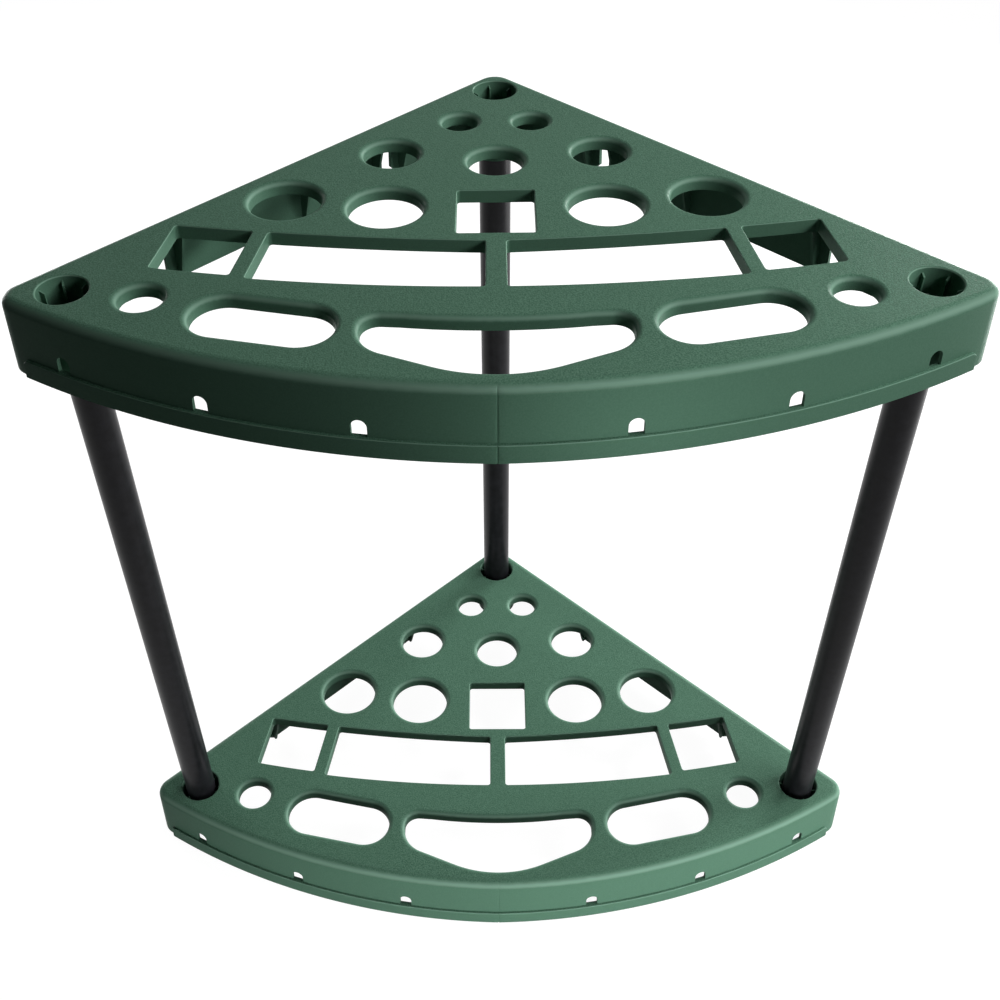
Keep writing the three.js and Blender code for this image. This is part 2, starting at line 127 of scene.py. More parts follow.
# Round openings: sideways, forward, radius
SMALL_HOLE = (29.1, 57.9, 14.4)
MIDDLE_HOLE_OUTER = (82.8, 112.4, 22.1)
MIDDLE_HOLE_CENTRE = (0, 125.8, 22)
LARGE_HOLE_INNER = (82.7, 197, 28.6)
LARGE_HOLE_OUTER = (159.3, 185.3, 27.5)
END_HOLE = (244.2, 316.7, 16)

SQUARE_HALF_WIDTH = 29.3
SQUARE_BACK = 174
SQUARE_FRONT = 236.2
SLOT_CORNER_ROUND = 2.5

SLOT_BACK = (247.2, 1730, 70)
SLOT_FRONT = (306.9, 1180, 0)
SHORT_SLOT_SETBACK = 2.4
SLOT_BAR_HALF = 7.7
LONG_SLOT_END = 169.7
SHORT_SLOT_START = 181.7
SHORT_SLOT_END = 241.9
SLOT_END_DEPTH = 256
SLOT_END_SLANT = math.pi / 20

STADIUM_INNER = (130.8, 351)
STADIUM_OUTER = (184.2, 339)
STADIUM_RADIUS = 23.6

BOWL_BACK = 345.5
BOWL_BACK_RADIUS = 480
BOWL_HALF_WIDTH = 91.3
BOWL_SHOULDER = 339
BOWL_SHOULDER_ROUND = 13
BOWL_CHEEK = 374.8
BOWL_CHEEK_ROUND = 27
BOWL_KEEL = 415
BOWL_KEEL_ROUND = 104

# Fineness of the roundings, curves and searches
HOLE_SIDES = 72
SOCKET_SIDES = 64
TUBE_SIDES = 96
CORNER_STEPS = 14
SLOT_CORNER_STEPS = 6
EDGE_STEPS = 8
SMALL_EDGE_STEPS = 4
SLOT_RIM_STEPS = 3
LONG_SLOT_STEPS = 20
SHORT_SLOT_STEPS = 6
BOWL_STEPS = 32
FRONT_STEPS = 60
ARCH_STEPS = 16
TIP_HALVINGS = 60
SLANT_PASSES = 8
SHARP_ANGLE = math.radians(32)
FACE_AREA_WEIGHT = 100

# The front edge's own points stop this many corner radii short of its tips
CORNER_MARGIN = 1.2


def plan_point(sideways, forward):
    return Vector((sideways, -forward))


def arc_forward(sideways, edge):
    """Forward distance of a curved edge whose halves are arcs with centres across the middle."""
    at_middle, radius, peak = edge
    centre = at_middle - math.sqrt(radius ** 2 - peak ** 2)
    return centre + math.sqrt(radius ** 2 - (abs(sideways) + peak) ** 2)


def corner(sideways, forward, radius=0.0, steps=CORNER_STEPS):
    return plan_point(sideways, forward), radius, steps


def rounded_outline(corners):
    """The outline through corners, each a point with the radius and the steps of its rounding."""
    points = []
    count = len(corners)
    for index, (point, radius, steps) in enumerate(corners):
        if not radius:
            points.append(point.copy())
            continue
        to_before = (corners[index - 1][0] - point).normalized()
        to_after = (corners[(index + 1) % count][0] - point).normalized()
        half = to_before.angle(to_after) / 2
        centre = point + (to_before + to_after).normalized() * (radius / math.sin(half))
        tangent = radius / math.tan(half)
        start = point + to_before * tangent - centre
        end = point + to_after * tangent - centre
        sweep = math.atan2(start.cross(end), start.dot(end))
        for step in range(steps + 1):
            angle = sweep * step / steps
            turned = Vector((start.x * math.cos(angle) - start.y * math.sin(angle),
                             start.x * math.sin(angle) + start.y * math.cos(angle)))
            points.append(centre + turned)
    return points


def offset_outline(outline, distance):
    """Moves every side of a counter-clockwise outline outwards by the same distance."""
    moved = []
    count = len(outline)
    for index, point in enumerate(outline):
        first = (point - outline[index - 1]).normalized()
        second = (outline[(index + 1) % count] - point).normalized()
        normals = Vector((first.y + second.y, -first.x - second.x))
        moved.append(point + normals * (distance / (1 + first.dot(second))))
    return moved


def mirrored(outline):
    return [Vector((-point.x, point.y)) for point in reversed(outline)]


def circle_outline(sideways, forward, radius, sides):
    centre = plan_point(sideways, forward)
    outline = []
    for index in range(sides):
        angle = 2 * math.pi * index / sides
        outline.append(centre + Vector((math.cos(angle), math.sin(angle))) * radius)
    return outline


def rounded_edge(radius, steps):
    """Sections of an edge that turns from upright to flat: distance in, and drop from the top."""
    angles = [math.pi / 2 * step / steps for step in range(steps + 1)]
    return [(radius * (1 - math.cos(angle)), radius * (1 - math.sin(angle))) for angle in angles]


def edge_sections(outline, radius, steps, way, offset=0.0, top=0.0):
    """Plan sections up a rounded edge that ends at a height, leaning in (way -1) or out (way 1)."""
    return [(offset_outline(outline, offset + way * inset), top - drop)
            for inset, drop in rounded_edge(radius, steps)]


def mesh_object(name, points, faces):
    mesh = bpy.data.meshes.new(name)
    mesh.from_pydata([tuple(value * MM for value in point) for point in points], [], faces)
    mesh.update()
    made = bpy.data.objects.new(name, mesh)
    bpy.context.scene.collection.objects.link(made)
    return made


def close_up(made):
    """Splits all faces into triangles and turns them out, whichever way the sections ran."""
    work = bmesh.new()
    work.from_mesh(made.data)
    bmesh.ops.triangulate(work, faces=work.faces)
    if work.calc_volume(signed=True) < 0:
        bmesh.ops.reverse_faces(work, faces=work.faces)
    work.to_mesh(made.data)
    work.free()


def skinned(name, rings):
    """Closed body through equally long rings of points in space."""
    count = len(rings[0])
    points = [point for ring in rings for point in ring]
    faces = []
    for ring in range(len(rings) - 1):
        low = ring * count
        high = low + count
        for side in range(count):
            after = (side + 1) % count
            faces.append((low + side, low + after, high + after, high + side))
    last = (len(rings) - 1) * count
    faces.append(tuple(reversed(range(count))))
    faces.append(tuple(range(last, last + count)))
    made = mesh_object(name, points, faces)
    close_up(made)
    return made


def loft(name, sections):
    """Closed body through a stack of plan outlines, each with its height, lowest first."""
    return skinned(name, [[(point.x, point.y, z) for point in outline] for outline, z in sections])


def combine(target, others, operation):
    """Joins the other bodies to the target, or cuts them from it, all in one operation."""
    group = bpy.data.collections.new(operation.lower())
    for other in others:
        bpy.context.scene.collection.objects.unlink(other)
        group.objects.link(other)
    bpy.context.scene.collection.children.link(group)
    modifier = target.modifiers.new(operation.lower(), "BOOLEAN")
    modifier.operation = operation
    modifier.solver = "MANIFOLD"
    modifier.operand_type = "COLLECTION"
    modifier.collection = group
    bpy.context.view_layer.objects.active = target
    bpy.ops.object.modifier_apply(modifier=modifier.name)
    for other in others:
        mesh = other.data
        bpy.data.objects.remove(other)
        bpy.data.meshes.remove(mesh)
    bpy.data.collections.remove(group)


# Outer form: plate, rounded edge, flaring skirt, front band

FRONT_EDGE = (FRONT_REACH, FRONT_RADIUS, FRONT_PEAK)


def front_tip():
    """Sideways distance at which the straight side edge would meet the front edge."""
    low, high = 0.0, FRONT_RADIUS - FRONT_PEAK
    for _ in range(TIP_HALVINGS):
        middle = (low + high) / 2
        if middle - CORNER_REACH < arc_forward(middle, FRONT_EDGE):
            low = middle
        else:
            high = middle
    return low


def tray_outline():
    tip = front_tip()
    start = math.asin(FRONT_PEAK / FRONT_RADIUS)
    end = math.asin((tip + FRONT_PEAK) / FRONT_RADIUS)
    half = []
    for step in range(1, FRONT_STEPS):
        angle = end + (start - end) * step / FRONT_STEPS
        sideways = FRONT_RADIUS * math.sin(angle) - FRONT_PEAK
        if sideways < tip - CORNER_MARGIN * FRONT_CORNER_ROUND:
            half.append((sideways, arc_forward(sideways, FRONT_EDGE)))
    return rounded_outline([
        corner(0, -CORNER_REACH, BACK_CORNER_ROUND),
        corner(-tip, tip - CORNER_REACH, FRONT_CORNER_ROUND),
        *[corner(-sideways, forward) for sideways, forward in half],
        corner(0, FRONT_REACH),
        *[corner(sideways, forward) for sideways, forward in reversed(half)],
        corner(tip, tip - CORNER_REACH, FRONT_CORNER_ROUND),
    ])


def flare_at(depth):
    """How far the skirt's face has flared out at a depth below the top."""
    return SKIRT_FLARE * (depth - EDGE_ROUND) / (SKIRT_DEPTH - EDGE_ROUND)


def tray_shell():
    """Plate and flaring skirt, hollow below."""
    outline = tray_outline()
    rim = (offset_outline(outline, SKIRT_FLARE), -SKIRT_DEPTH)
    below = SKIRT_DEPTH + OVERRUN
    hollow_rim = (offset_outline(outline, flare_at(below) - WALL), -below)
    outer = edge_sections(outline, EDGE_ROUND, EDGE_STEPS, -1)
    inner = edge_sections(outline, EDGE_ROUND - PLATE, SMALL_EDGE_STEPS, -1, -WALL, -PLATE)
    body = loft("tray", [rim] + outer)
    combine(body, [loft("hollow", [hollow_rim] + inner)], "DIFFERENCE")
    return body


def front_place(along, outward):
    """Place on the front edge at a distance along it from the middle, and the turn of its face."""
    direction = -1 if along < 0 else 1
    angle = math.asin(FRONT_PEAK / FRONT_RADIUS) + abs(along) / FRONT_RADIUS
    centre = FRONT_REACH - math.sqrt(FRONT_RADIUS ** 2 - FRONT_PEAK ** 2)
    reach = FRONT_RADIUS + outward
    sideways = direction * (reach * math.sin(angle) - FRONT_PEAK)
    return plan_point(sideways, centre + reach * math.cos(angle)), direction * angle


def quarter_fall(distance, radius):
    """How far a rounded end has fallen at a distance from its tip."""
    if distance >= radius:
        return 0.0
    return radius - math.sqrt(radius ** 2 - (radius - distance) ** 2)


def front_band():
    """Raised band along the bottom of the front skirt, as sections that advance along it."""
    end_insets = [inset for inset, _ in rounded_edge(BAND_END_ROUND, EDGE_STEPS)[:-1]]
    edge_insets = [inset for inset, _ in rounded_edge(BAND_EDGE_ROUND, SMALL_EDGE_STEPS)[1:]]
    ends = sorted(end_insets + edge_insets)
    run = BAND_HALF_LENGTH - BAND_END_ROUND
    stations = [-BAND_HALF_LENGTH + end for end in ends]
    stations += [run * step / FRONT_STEPS for step in range(-FRONT_STEPS, FRONT_STEPS + 1)]
    stations += [BAND_HALF_LENGTH - end for end in reversed(ends)]
    rings = []
    for along in stations:
        from_end = BAND_HALF_LENGTH - abs(along)
        top = SKIRT_DEPTH - BAND_HEIGHT + quarter_fall(from_end, BAND_END_ROUND)
        proud = BAND_PROUD - quarter_fall(from_end, BAND_EDGE_ROUND)
        section = [(SKIRT_DEPTH, -WALL / 2), (SKIRT_DEPTH, proud)]
        for inset, drop in rounded_edge(BAND_EDGE_ROUND, SMALL_EDGE_STEPS):
            section.append((top + drop, proud - inset))
        section.append((top, -WALL / 2))
        ring = []
        for depth, outward in section:
            point, _ = front_place(along, flare_at(depth) + outward)
            ring.append((point.x, point.y, -depth))
        rings.append(ring)
    return skinned("band", rings)


def front_witness():
    """Fine upright grooves where the two front arcs meet, one on the skirt and one on its band."""
    ledge = SKIRT_DEPTH - BAND_HEIGHT
    over_edge = [(drop, -inset) for inset, drop in rounded_edge(EDGE_ROUND, EDGE_STEPS)[:-2]]
    on_skirt = [(ledge, flare_at(ledge))] + over_edge
    on_band = [(depth, flare_at(depth) + BAND_PROUD)
               for depth in (SKIRT_DEPTH + OVERRUN, ledge - OVERRUN)]
    cutters = []
    for groove in (on_skirt, on_band):
        rings = []
        for depth, outward in groove:
            floor = -FRONT_REACH - outward + WITNESS_DEPTH
            mouth = -FRONT_REACH - outward - WITNESS_DEPTH
            rings.append([
                (0, floor, -depth),
                (-WITNESS_WIDTH, mouth, -depth),
                (WITNESS_WIDTH, mouth, -depth),
            ])
        cutters.append(skinned("witness", rings))
    return cutters


# Windows, notches and gussets of the skirts

def arch_outline(width, bottom, top, mouth=0.0):
    """Opening with an arched top and, where a mouth is given, a foot that widens at 45 degrees."""
    spring = top - width / 2
    points = [(-width / 2 - mouth, bottom), (width / 2 + mouth, bottom)]
    if mouth:
        points.append((width / 2, bottom + mouth))
    for step in range(ARCH_STEPS + 1):
        angle = math.pi * step / ARCH_STEPS
        points.append((width / 2 * math.cos(angle), spring + width / 2 * math.sin(angle)))
    if mouth:
        points.append((-width / 2, bottom + mouth))
    return points


def skirt_cutter(outline, place, heading):
    """Body with an upright outline that passes square through a skirt at a place."""
    along = Vector((math.cos(heading), math.sin(heading), 0))
    outward = along.cross(Vector((0, 0, 1)))
    rings = []
    for shift in (-SKIRT_CUT / 2, SKIRT_CUT / 2):
        base = Vector((place.x, place.y, 0))
        rings.append([base + along * x + outward * shift + Vector((0, 0, z)) for x, z in outline])
    return skinned("cutter", rings)


def front_windows():
    sill = BAND_HEIGHT - SKIRT_DEPTH
    outline = arch_outline(WINDOW_WIDTH, sill, sill + WINDOW_HEIGHT)
    cutters = []
    for sign in (-1, 1):
        for index in range(WINDOW_PAIRS):
            place, angle = front_place(sign * (FIRST_WINDOW + index * WINDOW_PITCH), 0)
            cutters.append(skirt_cutter(outline, place, angle))
    return cutters


def side_place(sign, along, inward):
    """Place on the right (sign 1) or left (sign -1) side edge, or inward from it."""
    heading = Vector((sign, -1)).normalized()
    inwards = Vector((-sign, -1)).normalized()
    return Vector((0, CORNER_REACH)) + heading * along + inwards * inward


def side_cutter(outline, sign, along):
    return skirt_cutter(outline, side_place(sign, along, 0), math.pi - sign * math.pi / 4)


def notch_places():
    return [(sign, NOTCH_MIDDLE + step * NOTCH_HALF_PITCH) for sign in (-1, 1) for step in (-1, 1)]


def side_notches():
    foot = -SKIRT_DEPTH - OVERRUN
    top = NOTCH_HEIGHT - SKIRT_DEPTH
    outline = arch_outline(NOTCH_WIDTH, foot, top, NOTCH_MOUTH + OVERRUN)
    return [side_cutter(outline, sign, along) for sign, along in notch_places()]


def side_reliefs():
    """Shallow reliefs that lift the side skirts' rim off the floor between the corners."""
    foot = -SKIRT_DEPTH - OVERRUN
    top = RELIEF_HEIGHT - SKIRT_DEPTH
    outline = [
        (-RELIEF_HALF_LENGTH - OVERRUN, foot),
        (RELIEF_HALF_LENGTH + OVERRUN, foot),
        (RELIEF_HALF_LENGTH - RELIEF_HEIGHT, top),
        (RELIEF_HEIGHT - RELIEF_HALF_LENGTH, top),
    ]
    return [side_cutter(outline, sign, NOTCH_MIDDLE) for sign in (-1, 1)]


def gusset_places():
    beside_notches = [(sign, along + step) for sign, along in notch_places()
                      for step in (-GUSSET_OFFSET, GUSSET_OFFSET)]
    return beside_notches + [(-1, MIDDLE_GUSSET), (1, MIDDLE_GUSSET)]


def side_gussets():
    foot = GUSSET_LIFT - SKIRT_DEPTH
    shoulder = EDGE_ROUND - (EDGE_ROUND - WALL / 2) / math.sqrt(2)
    profile = [
        (WALL / 2, -EDGE_ROUND),
        (WALL / 2 - flare_at(SKIRT_DEPTH - GUSSET_LIFT), foot),
        (WALL + GUSSET_FOOT, foot),
        (WALL + GUSSET_TOP, -PLATE),
        (WALL + GUSSET_TOP, -PLATE / 2),
        (EDGE_ROUND, -PLATE / 2),
        (shoulder, -shoulder),
    ]
    gussets = []
    for sign, along in gusset_places():
        rings = []
        for half in (-GUSSET_THICKNESS / 2, GUSSET_THICKNESS / 2):
            ring = []
            for inward, z in profile:
                place = side_place(sign, along + half, inward)
                ring.append((place.x, place.y, z))
            rings.append(ring)
        gussets.append(skinned("gusset", rings))
    return gussets


# Tool openings

def round_hole(place):
    return circle_outline(*place, HOLE_SIDES), RIM_ROUND


def slot_corner(sideways, forward):
    return corner(sideways, forward, SLOT_CORNER_ROUND, SLOT_CORNER_STEPS)


def square_hole():
    return rounded_outline([
        slot_corner(SQUARE_HALF_WIDTH, SQUARE_BACK),
        slot_corner(-SQUARE_HALF_WIDTH, SQUARE_BACK),
        slot_corner(-SQUARE_HALF_WIDTH, SQUARE_FRONT),
        slot_corner(SQUARE_HALF_WIDTH, SQUARE_FRONT),
    ]), SLOT_RIM_ROUND


def curved_slot(start, start_slant, end, end_slant, setback, steps):
    """A slot between the two curved edges, with ends that may slant."""
    def back(sideways):
        return arc_forward(sideways, SLOT_BACK)

    def front(sideways):
        return arc_forward(sideways, SLOT_FRONT) - setback

    def end_at(sideways, slant, edge):
        found = sideways
        for _ in range(SLANT_PASSES):
            found = sideways + (edge(found) - SLOT_END_DEPTH) * math.tan(slant)
        return found

    def edge_corners(edge, first, last):
        corners = []
        for step in range(steps + 1):
            sideways = first + (last - first) * step / steps
            made = slot_corner if step in (0, steps) else corner
            corners.append(made(sideways, edge(sideways)))
        return corners

    return rounded_outline(
        edge_corners(back, end_at(end, end_slant, back), end_at(start, start_slant, back))
        + edge_corners(front, end_at(start, start_slant, front), end_at(end, end_slant, front))
    ), SLOT_RIM_ROUND


def stadium_hole():
    inner = plan_point(*STADIUM_INNER)
    outer = plan_point(*STADIUM_OUTER)
    tilt = math.atan2(outer.y - inner.y, outer.x - inner.x)
    outline = []
    for centre, start in ((outer, tilt - math.pi / 2), (inner, tilt + math.pi / 2)):
        for step in range(HOLE_SIDES // 2 + 1):
            angle = start + 2 * math.pi * step / HOLE_SIDES
            outline.append(centre + Vector((math.cos(angle), math.sin(angle))) * STADIUM_RADIUS)
    return outline, RIM_ROUND


def bowl_hole():
    half = BOWL_HALF_WIDTH - 2 * BOWL_SHOULDER_ROUND
    back = []
    for step in range(BOWL_STEPS + 1):
        sideways = half * (1 - 2 * step / BOWL_STEPS)
        back.append(corner(sideways, BOWL_BACK - sideways ** 2 / (2 * BOWL_BACK_RADIUS)))
    return rounded_outline([
        corner(BOWL_HALF_WIDTH, BOWL_SHOULDER, BOWL_SHOULDER_ROUND),
        *back,
        corner(-BOWL_HALF_WIDTH, BOWL_SHOULDER, BOWL_SHOULDER_ROUND),
        corner(-BOWL_HALF_WIDTH, BOWL_CHEEK, BOWL_CHEEK_ROUND),
        corner(0, BOWL_KEEL, BOWL_KEEL_ROUND, 2 * CORNER_STEPS),
        corner(BOWL_HALF_WIDTH, BOWL_CHEEK, BOWL_CHEEK_ROUND),
    ]), RIM_ROUND


def tool_holes():
    """The outline of each opening at its narrowest, with the rounding of its mouth."""
    paired = [
        round_hole(SMALL_HOLE),
        round_hole(MIDDLE_HOLE_OUTER),
        round_hole(LARGE_HOLE_INNER),
        round_hole(LARGE_HOLE_OUTER),
        round_hole(END_HOLE),
        curved_slot(SLOT_BAR_HALF, 0, LONG_SLOT_END, SLOT_END_SLANT, 0, LONG_SLOT_STEPS),
        curved_slot(SHORT_SLOT_START, SLOT_END_SLANT, SHORT_SLOT_END, SLOT_END_SLANT,
                    SHORT_SLOT_SETBACK, SHORT_SLOT_STEPS),
        stadium_hole(),
    ]
    mirror = [(mirrored(outline), round_by) for outline, round_by in paired]
    return paired + mirror + [round_hole(MIDDLE_HOLE_CENTRE), square_hole(), bowl_hole()]


def collar(hole):
    """The turned-down collar of an opening. Under a well rounded mouth its outside follows it."""
    outline, round_by = hole
    sections = [(offset_outline(outline, WALL), -COLLAR_DEPTH)]
    if round_by > PLATE:
        sections += edge_sections(outline, round_by - PLATE, SMALL_EDGE_STEPS, 1, WALL, -PLATE)
        sections.append((offset_outline(outline, round_by), -PLATE / 2))
    else:
        sections.append((offset_outline(outline, WALL), -PLATE / 2))
    return loft("collar", sections)


def opening_cutter(hole):
    outline, round_by = hole
    steps = EDGE_STEPS if round_by > PLATE else SLOT_RIM_STEPS
    foot = (outline, -COLLAR_DEPTH - OVERRUN)
    head = (offset_outline(outline, round_by), OVERRUN)
    return loft("opening", [foot] + edge_sections(outline, round_by, steps, 1) + [head])


# Sockets for the tubes

POSTS = [(-POST_REACH, POST_ADVANCE), (POST_REACH, POST_ADVANCE), (0, 0)]


def socket_boss(post):
    outline = circle_outline(*post, SOCKET_RADIUS + WALL, SOCKET_SIDES)
    return loft("boss", [(outline, SOCKET_LIFT - SKIRT_DEPTH), (outline, -PLATE / 2)])


def socket_bores(post):
    """The socket's upper bore with its rounded mouth, and its lower bore, with the stop between."""
    def ring(radius, z):
        return circle_outline(*post, radius, SOCKET_SIDES), z

    mouth = [ring(SOCKET_RADIUS + inset, -drop)
             for inset, drop in rounded_edge(SOCKET_MOUTH_ROUND, SMALL_EDGE_STEPS)]
    stop = ring(SOCKET_RADIUS, -STOP_DEPTH)
    above = ring(SOCKET_RADIUS + SOCKET_MOUTH_ROUND, OVERRUN)
    below = ring(SOCKET_RADIUS, SOCKET_LIFT - SKIRT_DEPTH - OVERRUN)
    stop_underside = ring(SOCKET_RADIUS, -STOP_DEPTH - STOP_THICKNESS)
    return [loft("bore", [stop] + mouth + [above]), loft("bore", [below, stop_underside])]


def socket_ribs(post):
    """Crush ribs with a sloping lead at the mouth end, in the upper and in the lower bore."""
    tip = TUBE_RADIUS + SEAT_CLEARANCE
    root = SOCKET_RADIUS + WALL / 2
    stop = -STOP_DEPTH - STOP_THICKNESS / 2
    upper_end = -CRUSH_RIB_INSET
    lower_end = SOCKET_LIFT - SKIRT_DEPTH + CRUSH_RIB_INSET
    ribs = []
    for end, slope in ((upper_end, -CRUSH_RIB_SLOPE), (lower_end, CRUSH_RIB_SLOPE)):
        profile = [(root, stop), (tip, stop), (tip, end + slope), (SOCKET_RADIUS, end), (root, end)]
        for index in range(CRUSH_RIBS):
            angle = CRUSH_RIB_TURN + 2 * math.pi * index / CRUSH_RIBS
            out = Vector((math.cos(angle), math.sin(angle)))
            across = Vector((-out.y, out.x))
            rings = []
            for half in (-CRUSH_RIB_THICKNESS / 2, CRUSH_RIB_THICKNESS / 2):
                ring = []
                for radius, z in profile:
                    place = plan_point(*post) + out * radius + across * half
                    ring.append((place.x, place.y, z))
                rings.append(ring)
            ribs.append(skinned("rib", rings))
    return ribs


def finish_surface(made):
    """Smooth shading with crisp creases. Large flat faces keep their own direction."""
    mesh = made.data
    work = bmesh.new()
    work.from_mesh(mesh)
    for face in work.faces:
        face.smooth = True
    for edge in work.edges:
        edge.smooth = edge.is_manifold and edge.calc_face_angle(0) < SHARP_ANGLE
    work.to_mesh(mesh)
    work.free()
    weighted = made.modifiers.new("weighted", "WEIGHTED_NORMAL")
    weighted.keep_sharp = True
    weighted.weight = FACE_AREA_WEIGHT
    bpy.context.view_layer.objects.active = made
    bpy.ops.object.modifier_apply(modifier=weighted.name)


def build_tray():
    """The whole moulding, with its top at height zero and the back tube's axis at the origin."""
    holes = tool_holes()
    tray = tray_shell()
    parts = [front_band()] + side_gussets() + [collar(hole) for hole in holes]
    parts += [socket_boss(post) for post in POSTS]
    combine(tray, parts, "UNION")
    cutters = [opening_cutter(hole) for hole in holes]
    cutters += front_windows() + side_notches() + side_reliefs() + front_witness()
    for post in POSTS:
        cutters += socket_bores(post)
    combine(tray, cutters, "DIFFERENCE")
    ribs = [rib for post in POSTS for rib in socket_ribs(post)]
    combine(tray, ribs, "UNION")
    finish_surface(tray)
    return tray


def build_tube(name, height):
    """A hollow tube with chamfered ends that stands on height zero."""
    bore = TUBE_RADIUS - TUBE_WALL
    profile = [
        (bore, 0),
        (TUBE_RADIUS - TUBE_CHAMFER, 0),
        (TUBE_RADIUS, TUBE_CHAMFER),
        (TUBE_RADIUS, height - TUBE_CHAMFER),
        (TUBE_RADIUS - TUBE_CHAMFER, height),
        (bore, height),
    ]
    count = len(profile)
    points = []
    faces = []
    for side in range(TUBE_SIDES):
        angle = 2 * math.pi * side / TUBE_SIDES
        points += [(radius * math.cos(angle), radius * math.sin(angle), z) for radius, z in profile]
        here = side * count
        there = (side + 1) % TUBE_SIDES * count
        for step in range(count):
            after = (step + 1) % count
            faces.append((here + step, there + step, there + after, here + after))
    tube = mesh_object(name, points, faces)
    close_up(tube)
    finish_surface(tube)
    return tube


# Materials. Colours are linear, and directions are the upward part of a face's normal

GREEN_DARK = (0.04, 0.094, 0.062)
GREEN_PALE = (0.088, 0.178, 0.124)
GREEN_WORN = (0.063, 0.135, 0.091)
# Paler green painted on the rounded edges as a highlight; the two ranges below bound where it lies
GREEN_PAINTED_HIGHLIGHT = (0.132, 0.228, 0.172)
GRAIN_SCALE = 900
GRAIN_DETAIL = 3
CLOUD_SCALE = 9
CLOUD_DETAIL = 3
WORN_SHARE = 0.35
MEAN_GRAIN = 0.5
WALL_GRAIN = 0.2
PLATE_DIRECTIONS = (0.8, 0.99)
EDGE_FROM_WALL = (0.2, 0.5)
EDGE_TO_PLATE = (0.65, 0.92)
TRAY_ROUGHNESS = 0.42
EDGE_ROUGHNESS = (0.3, 0.36)
TRAY_SPECULAR = 0.02
GRAIN_BUMP = (0.45, 0.00015)
CLOUD_BUMP = (0.15, 0.002)

BLACK_DARK = (0.006, 0.0058, 0.007)
BLACK_PALE = (0.01, 0.01, 0.012)
STREAK_SCALE = 120
STREAK_DETAIL = 4
TUBE_ROUGHNESS = (0.3, 0.38)
TUBE_SPECULAR = 0.12
STREAK_BUMP = (0.1, 0.0003)

# The values between which most of a noise lies, taken narrowly and widely
NOISE_NARROW = (0.35, 0.65)
NOISE_WIDE = (0.3, 0.7)


def node_material(name):
    material = bpy.data.materials.new(name)
    material.use_nodes = True
    tree = material.node_tree
    tree.nodes.clear()
    output = tree.nodes.new("ShaderNodeOutputMaterial")
    shader = tree.nodes.new("ShaderNodeBsdfPrincipled")
    tree.links.new(shader.outputs["BSDF"], output.inputs["Surface"])
    return material, shader, output


def feed(tree, socket, value):
    """Gives a socket a number or a colour, or links another node's output to it."""
    if isinstance(value, bpy.types.NodeSocket):
        tree.links.new(value, socket)
    elif isinstance(value, tuple):
        socket.default_value = (*value, 1)
    else:
        socket.default_value = value


def noise(tree, scale, detail):
    coordinates = tree.nodes.new("ShaderNodeTexCoord")
    texture = tree.nodes.new("ShaderNodeTexNoise")
    feed(tree, texture.inputs["Scale"], scale)
    feed(tree, texture.inputs["Detail"], detail)
    feed(tree, texture.inputs["Vector"], coordinates.outputs["Object"])
    return texture.outputs["Fac"]


def spread(tree, value, source, target):
    """Maps a value from one range to another, and keeps it inside."""
    mapping = tree.nodes.new("ShaderNodeMapRange")
    for name, limit in zip(("From Min", "From Max", "To Min", "To Max"), source + target):
        feed(tree, mapping.inputs[name], limit)
    feed(tree, mapping.inputs["Value"], value)
    return mapping.outputs["Result"]


def blend(tree, kind, factor, first, second):
    """Mixes two numbers (FLOAT) or two colours (RGBA), fixed or from another node."""
    mix = tree.nodes.new("ShaderNodeMix")
    mix.data_type = kind
    feed(tree, mix.inputs["Factor"], factor)
    feed(tree, mix.inputs["A"], first)
    feed(tree, mix.inputs["B"], second)
    return mix.outputs["Result"]


def calculate(tree, operation, first, second):
    node = tree.nodes.new("ShaderNodeMath")
    node.operation = operation
    feed(tree, node.inputs[0], first)
    feed(tree, node.inputs[1], second)
    return node.outputs["Value"]


def bump(tree, height, strength, distance, normal=None):
    node = tree.nodes.new("ShaderNodeBump")
    feed(tree, node.inputs["Strength"], strength)
    feed(tree, node.inputs["Distance"], distance)
    feed(tree, node.inputs["Height"], height)
    if normal:
        feed(tree, node.inputs["Normal"], normal)
    return node.outputs["Normal"]


def upward_direction(tree):
    """One on level faces that look up, zero on upright walls."""
    geometry = tree.nodes.new("ShaderNodeNewGeometry")
    split = tree.nodes.new("ShaderNodeSeparateXYZ")
    feed(tree, split.inputs[0], geometry.outputs["Normal"])
    return split.outputs["Z"]


def tray_plastic():
    """Green, grained on the plates, smoother on the walls, with a painted highlight of paler green
    on the rounded edges.
    """
    material, shader, _ = node_material("tray_plastic")
    tree = material.node_tree
    upward = upward_direction(tree)
    # Painted highlight: where the normal turns between wall and plate, the colour goes paler and
    # the roughness lower
    highlight_edge = calculate(tree, "MULTIPLY", spread(tree, upward, EDGE_FROM_WALL, (0, 1)),
                        spread(tree, upward, EDGE_TO_PLATE, (1, 0)))
    depth = spread(tree, upward, PLATE_DIRECTIONS, (WALL_GRAIN, 1))
    grain = spread(tree, noise(tree, GRAIN_SCALE, GRAIN_DETAIL), NOISE_NARROW, (0, 1))
    mottle = blend(tree, "FLOAT", depth, MEAN_GRAIN, grain)
    cloud = noise(tree, CLOUD_SCALE, CLOUD_DETAIL)
    worn = spread(tree, cloud, NOISE_NARROW, (0, WORN_SHARE))
    grained = blend(tree, "RGBA", mottle, GREEN_DARK, GREEN_PALE)
    cloudy = blend(tree, "RGBA", worn, grained, GREEN_WORN)
    feed(tree, shader.inputs["Base Color"], blend(tree, "RGBA", highlight_edge, cloudy, GREEN_PAINTED_HIGHLIGHT))
    rubbed = spread(tree, cloud, NOISE_WIDE, EDGE_ROUGHNESS)
    feed(tree, shader.inputs["Roughness"], blend(tree, "FLOAT", highlight_edge, TRAY_ROUGHNESS, rubbed))
    feed(tree, shader.inputs["Specular IOR Level"], TRAY_SPECULAR)
    fine = bump(tree, mottle, *GRAIN_BUMP)
    feed(tree, shader.inputs["Normal"], bump(tree, cloud, *CLOUD_BUMP, fine))
    return material


